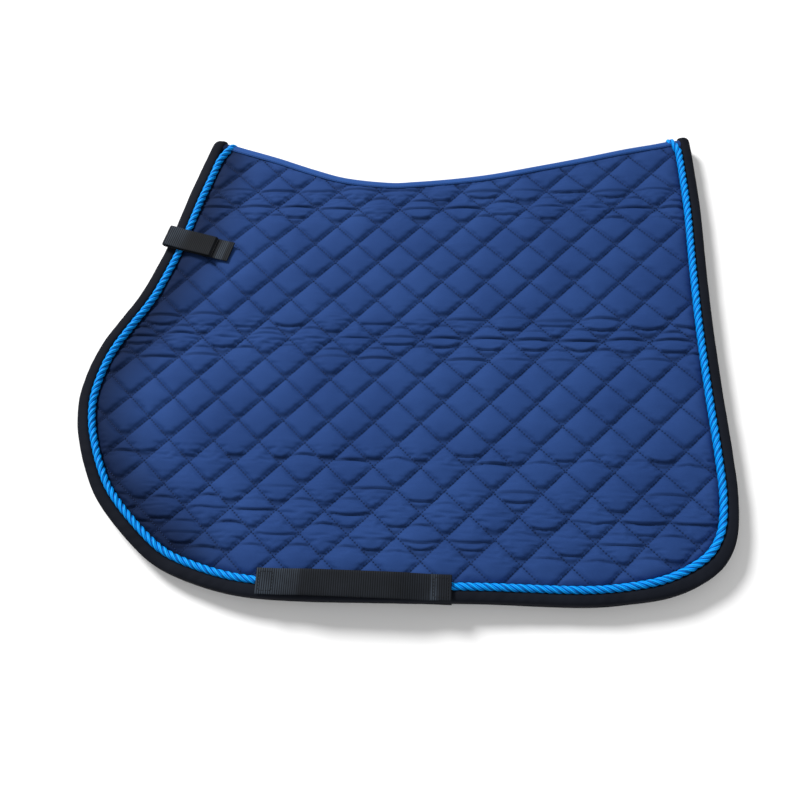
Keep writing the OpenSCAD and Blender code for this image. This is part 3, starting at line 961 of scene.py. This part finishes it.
def spine_tape():
    """The tape wraps the spine's edge, thickest over it, and is sewn down on each side."""
    line, down = tape_sections()
    steps = 9
    share = np.arange(-steps, steps + 1) / steps
    d = tape_width(line[:, 0])[:, None] * np.abs(share) ** 1.6
    z = (SPINE_Z + 1.0 - MID_Z) * spine_round(d + 0.15, SPINE_RADIUS)
    outer = rings_beside(line, down, d - 0.2, MID_Z + np.sign(share) * z)
    inner = rings_beside(line, down, d + 0.5, MID_Z + np.sign(share) * np.maximum(z - TAPE_CLOTH, 0))
    rings = np.hstack([outer, inner[:, ::-1]]).reshape(-1, 3)
    faces = strip_faces(len(line), 2 * len(share), caps=True)
    tape = make_piece("spine_binding_tape", rings, faces, TAPE)
    settle(tape, BODY_RIGHT, ["spine_tape"])
    at = even(line, 2.9)
    below = -left_of(headings(at))
    w = tape_width(at[:, 0])[:, None] - 1.1
    z = MID_Z + (SPINE_Z + 1.15 - MID_Z) * spine_round(w[:, 0] + 0.15, SPINE_RADIUS)
    runs = np.column_stack([headings(at), np.zeros(len(at))])
    tilt = np.column_stack([-0.35 * below, np.ones(len(at))])
    tilt /= np.linalg.norm(tilt, axis=1)[:, None]
    verts, faces = stitch_mesh(np.column_stack([at + below * w, z]), runs, tilt, 2.2, 0.6, 0.3)
    for side, places, dashes in (("left", verts, faces), ("right", *flipped(verts, faces))):
        thread = make_piece(f"{side}_tape_stitches", places, dashes, TAPE_THREAD)
        settle(thread, BODY_RIGHT, [])
    section = np.array([(1.2, -0.6), (9.0, -1.2), (9.0, 1.2), (1.2, 0.6)])
    rings = rings_beside(line, down, section[:, 0], MID_Z + section[:, 1]).reshape(-1, 3)
    seam = make_piece("spine_seam_turnings", rings, strip_faces(len(line), len(section), caps=True), TURNING,
                      smooth_faces=False)
    settle(seam, BODY_RIGHT, ["spine_seam"])


# ---- stitches
def stitch_mesh(centres, along, up, length, width, rise):
    """One object's worth of short thread dashes, each a small rounded bar."""
    n = len(centres)
    along = along / np.linalg.norm(along, axis=1)[:, None]
    across = np.cross(up, along)
    across /= np.linalg.norm(across, axis=1)[:, None]
    template = [(-1, 0, -0.6), (-0.6, 1, 0.1), (-0.6, 0, 1), (-0.6, -1, 0.1),
                (0.6, 1, 0.1), (0.6, 0, 1), (0.6, -1, 0.1), (1, 0, -0.6)]
    verts = np.stack([centres + along * (a * length / 2) + across * (b * width / 2) + up * (c * rise)
                      for a, b, c in template], axis=1).reshape(-1, 3)
    base = [(0, 2, 1), (0, 3, 2), (0, 1, 3), (1, 2, 5, 4), (2, 3, 6, 5), (3, 1, 4, 6),
            (4, 5, 7), (5, 6, 7), (6, 4, 7)]
    faces = [tuple(v + 8 * i for v in f) for i in range(n) for f in base]
    return verts, faces


def quilt_stitches():
    """Dashes of thread along every seam of the quilting."""
    centres, runs = [], []
    free = np.arange(-16, 24, STITCH_SHARE)
    seams = [(np.full(len(free), float(k)), free) for k in range(-14, 20)]
    for s, t in seams + [(t, s) for s, t in seams]:
        x, y = lattice_xy(s, t)
        ok = (np.abs(x) < 335) & (np.abs(y) < 270)
        x, y = x[ok], y[ok]
        if len(x) < 2:
            continue
        d_edge = distance_to(EDGE, x, y)
        d_spine = -distance_to(SPINE, x, y)
        ok = (d_edge > binding_width(x, y) + 2 * ROPE_R + 1) & (d_spine > 10.5)
        z = seam_level(x, y, d_edge, d_spine) + 0.35
        centres.append(np.column_stack([x, y, z])[ok])
        runs.append(np.tile([x[1] - x[0], y[1] - y[0], 0.0], (ok.sum(), 1)))
    centres, runs = np.vstack(centres), np.vstack(runs)
    up = np.tile([0.0, 0.0, 1.0], (len(centres), 1))
    verts, faces = stitch_mesh(centres, runs, up, 2.1, 0.75, 0.3)
    on_both_flaps("quilting_thread", verts, faces, QUILT_THREAD, [], [])


# ---- webbing
RIB_PITCH = 2.2
RIB_DEPTH = 0.3


def ribbon(name, path, width, thick, across=(0, 1, 0), shine=((0, 1), (1, 1))):
    """Flat webbing swept along a path, with ribs across its width and rounded selvedges.
    Shine says how strong the painted highlight on the ribs is along the path: pairs of a length and a factor."""
    step = RIB_PITCH / 6
    path = even(np.array(path, float), step)
    run = headings(path)
    across = np.array(across, float)
    normal = np.cross(run, across)
    ribs = np.abs(np.sin(np.pi * np.arange(len(path)) / 6)) ** 0.7
    columns = 11
    share = np.sin(np.pi * (np.arange(columns) / (columns - 1) - 0.5))[:, None]
    edge = 1 - 0.5 * np.abs(share) ** 20
    rings = []
    for p, n, high in zip(path, normal, ribs):
        middle = p + across * share * width / 2
        reach = n * edge * (thick / 2 - RIB_DEPTH * (1 - high))
        rings += [*(middle + reach), *(middle - reach)[::-1]]
    # strength of the painted highlight along the strap
    painted_shine = np.interp(step * np.arange(len(path)), *zip(*shine))
    faces = strip_faces(len(path), 2 * columns, caps=True)
    piece = make_piece(name, rings, faces, WEBBING, sagging=False)
    add_attribute(piece, "rib_painted_highlight", np.repeat(ribs * painted_shine, 2 * columns))
    return piece


def keeper_stitches(name, x_low, x_high, z, body, mirror):
    """A sewn rectangle at one end of a keeper, as thread dashes."""
    y_low, y_high = KEEPER_LOW[1] + 3.5, KEEPER_HIGH[1] - 3.5
    corners = np.array([(x_low, y_low, z), (x_high, y_low, z), (x_high, y_high, z), (x_low, y_high, z)])
    centres, runs = [], []
    for a, b in zip(corners, np.roll(corners, -1, axis=0)):
        n = int(np.linalg.norm(b - a) / 2.8)
        for k in range(n):
            centres.append(a + (b - a) * (k + 0.5) / n)
            runs.append(b - a)
    up = np.tile([0.0, 0.0, 1.0], (len(centres), 1))
    verts, faces = stitch_mesh(np.array(centres), np.array(runs), up, 2.1, 0.55, 0.25)
    if mirror:
        verts, faces = flipped(verts, faces)
    piece = make_piece(name, verts, faces, BLACK_THREAD, sagging=False)
    settle(piece, body, [])


def keepers():
    low = COVER_TOP + WEB_T / 2
    high = TOTAL_H - WEB_T / 2 - 1.0
    x0, x1 = KEEPER_LOW[0], KEEPER_HIGH[0]
    y = (KEEPER_LOW[1] + KEEPER_HIGH[1]) / 2
    sewn, ramp = 20.0, 34.0
    xs = np.arange(x0, x1 + 0.1, 2.0)
    lift = smooth((xs - x0 - sewn) / ramp) * smooth((x1 - sewn - xs) / ramp)
    path = [(x, y, low + (high - low) * a) for x, a in zip(xs, lift)]
    end = [(x, y, PATCH_LOW[2] + 0.7) for x in (PATCH_LOW[0], PATCH_HIGH[0])]
    for side, mirror, body in (("left", False, BODY_LEFT), ("right", True, BODY_RIGHT)):
        # the shine values paint highlights on the ribs of the keeper and of its end patch
        strap = ribbon(f"{side}_keeper_webbing", mirrored(path, mirror), WEB_W, WEB_T,
                       shine=((0, 1.6), (40, 1.5), (46, 0.8), (150, 0.8), (170, 1.0)))
        settle(strap, body, [f"{side}_girth_keeper"])
        patch = ribbon(f"{side}_keeper_end", mirrored(end, mirror), WEB_W - 0.6, 1.2,
                       shine=((0, 1.6), (5, 1.7), (9, 1.0)))
        settle(patch, body, [f"{side}_keeper_patch"])
        keeper_stitches(f"{side}_keeper_rear_stitches", PATCH_LOW[0] + 3, PATCH_HIGH[0] - 3,
                        PATCH_HIGH[2] + 0.25, body, mirror)
        keeper_stitches(f"{side}_keeper_front_stitches", x0 + 3, x0 + 16,
                        COVER_TOP + WEB_T + 0.15, body, mirror)


def mirrored(path, mirror):
    return [(x, y, TOTAL_H - z) for x, y, z in path] if mirror else path


TAPE_T = 1.0
PATCH_FROM, PATCH_TO = 22.4, 56.4


def tape_patch(name, place, bottom, mirror, material):
    """A patch of hook or loop tape: a thin rounded slab with a crowned face."""
    across, along = 9, 17
    half = WEB_W / 2 - 1.5
    rings = []
    for i in range(along):
        u = mix(PATCH_FROM, PATCH_TO, i / (along - 1))
        end = 1 - abs(2 * i / (along - 1) - 1) ** 12
        top, low = [], []
        for k in range(across):
            b = 2 * k / (across - 1) - 1
            rise = TAPE_T * (0.55 + 0.4 * end * (1 - abs(b) ** 8))
            x, y, _ = place(u, 0)
            x, y = x + TAB_V.x * b * half, y + TAB_V.y * b * half
            top.append((x, y, bottom + rise))
            low.append((x, y, bottom))
        rings += top + low[::-1]
    faces = strip_faces(along, 2 * across, caps=True)
    if mirror:
        rings, faces = flipped(rings, faces)
    return make_piece(name, rings, faces, material, sagging=False)


def tabs():
    """Each front tab is one strap that goes out, folds round a loop and comes back on top."""
    strap_box = node_box("left_tab_strap")
    centre_z = TAB_AXIS[2]
    r = (TOTAL_H - COVER_TOP) / 2 - WEB_T / 2
    low, high = centre_z - r, centre_z + r
    free_end = (strap_box[1][0] - strap_box[0][0]) * 0.93
    rest_z = low + WEB_T + 2 * TAPE_T + 0.2
    path = [(TAB_LENGTH - 3.6 - k, low) for k in np.arange(0, TAB_LENGTH - 3.6, 2.0)]
    path += [(-r * math.sin(a), centre_z - r * math.cos(a)) for a in np.radians(np.arange(0, 181, 12))]
    end_z = low + WEB_T + 0.3
    top = [(k, mix(mix(high, rest_z, float(smooth(k / 26.0))), end_z,
                   float(smooth((k - PATCH_TO + 2) / (free_end - PATCH_TO + 2)))))
           for k in np.arange(0.0, free_end + 0.1, 1.0)]

    def place(u, z):
        return (TAB_AXIS[0] + TAB_U.x * u, TAB_AXIS[1] + TAB_U.y * u, z)

    points = [place(u, z) for u, z in path]
    top_points = [place(u, z) for u, z in top]
    v = (TAB_V.x, TAB_V.y, 0)
    for side, mirror, base, flap in (("left", False, BODY_LEFT, "left_tab"),
                                     ("right", True, BODY_RIGHT, "right_tab")):
        # the shine values paint highlights on the tab's ribs, round the fold and on the free end
        strap = ribbon(f"{side}_tab_webbing", mirrored(points, mirror), WEB_W, WEB_T, across=v,
                       shine=((0, 0.7), (5, 0.8), (8, 1.7), (14, 1.7), (17, 0.6), (TAB_LENGTH, 1.0)))
        z0, z1 = low + WEB_T / 2 + 0.1, high - WEB_T / 2 - 0.1
        if mirror:
            z0, z1 = TOTAL_H - z0, TOTAL_H - z1
        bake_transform(strap)
        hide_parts(f"{side}_tab_base")
        free = ribbon(f"{side}_tab_free_end", mirrored(top_points, mirror), WEB_W, WEB_T, across=v,
                      shine=((0, 1.5), (18, 1.4), (27, 0.5)))
        settle(free, flap, [f"{side}_tab_strap"])
        for part, slot, body, bottom, material in (
                ("loop_patch", "loop_tape", base, low + WEB_T / 2, LOOPS),
                ("hook_patch", "hook_tape", flap, low + WEB_T / 2 + TAPE_T, HOOKS)):
            patch = tape_patch(f"{side}_tab_{part}", place, bottom + 0.05, mirror, material)
            settle(patch, body, [f"{side}_{part}"])


# ---- build the pad
sheets = [*covers(), *linings()]
waddings()
bindings()
ropes()
spine_tape()
quilt_stitches()
keepers()
tabs()


# ---- floor, light and camera
def stage():
    size = 6.0
    mesh = bpy.data.meshes.new("floor")
    mesh.from_pydata([(-size, -size, 0), (size, -size, 0), (size, size, 0), (-size, size, 0)], [],
                     [(0, 1, 2, 3)])
    floor = bpy.data.objects.new("floor", mesh)
    bpy.context.scene.collection.objects.link(floor)
    s = Shader("pale_floor", 0.9, specular=0.1)
    s.colour(s.ramp(s.noise(3.0), [(0.3, (0.86, 0.86, 0.86, 1)), (0.7, (0.9, 0.9, 0.9, 1))]))
    mesh.materials.append(s.material)


def area_light(name, place, size, power):
    """A soft round lamp that shines at the middle of the pad."""
    data = bpy.data.lights.new(name, "AREA")
    data.shape = "DISK"
    data.size = size
    data.energy = power
    lamp = bpy.data.objects.new(name, data)
    bpy.context.scene.collection.objects.link(lamp)
    lamp.location = place
    aim = -Vector(place)
    lamp.rotation_mode = "QUATERNION"
    lamp.rotation_quaternion = aim.to_track_quat("-Z", "Y")


def lights():
    bpy.context.scene.view_settings.view_transform = "Standard"
    area_light("key", (-2.1, 2.2, 2.65), 1.2, 210)
    area_light("fill", (0.7, -0.9, 2.0), 1.6, 8)
    world = bpy.data.worlds.new("studio")
    bpy.context.scene.world = world
    world.use_nodes = True
    sky = world.node_tree.nodes["Background"]
    sky.inputs["Color"].default_value = (1, 1, 1, 1)
    sky.inputs["Strength"].default_value = 0.45


SEEN_Z = 20.4


def camera():
    data = bpy.data.cameras.new("camera")
    data.sensor_width = 36.0
    data.lens = 37.35
    cam = bpy.data.objects.new("camera", data)
    bpy.context.scene.collection.objects.link(cam)
    place = Vector((0.0830, -0.3839, 0.7995 + SEEN_Z * MM))
    aim = Vector((0.0068, -0.0636, SEEN_Z * MM))
    up = Vector((-0.019, 0.9275, 0.3734))
    forward = (aim - place).normalized()
    right = forward.cross(up).normalized()
    up = right.cross(forward)
    cam.matrix_world = Matrix((right, up, -forward)).transposed().to_4x4()
    cam.location = place
    bpy.context.scene.camera = cam


stage()
lights()
camera()
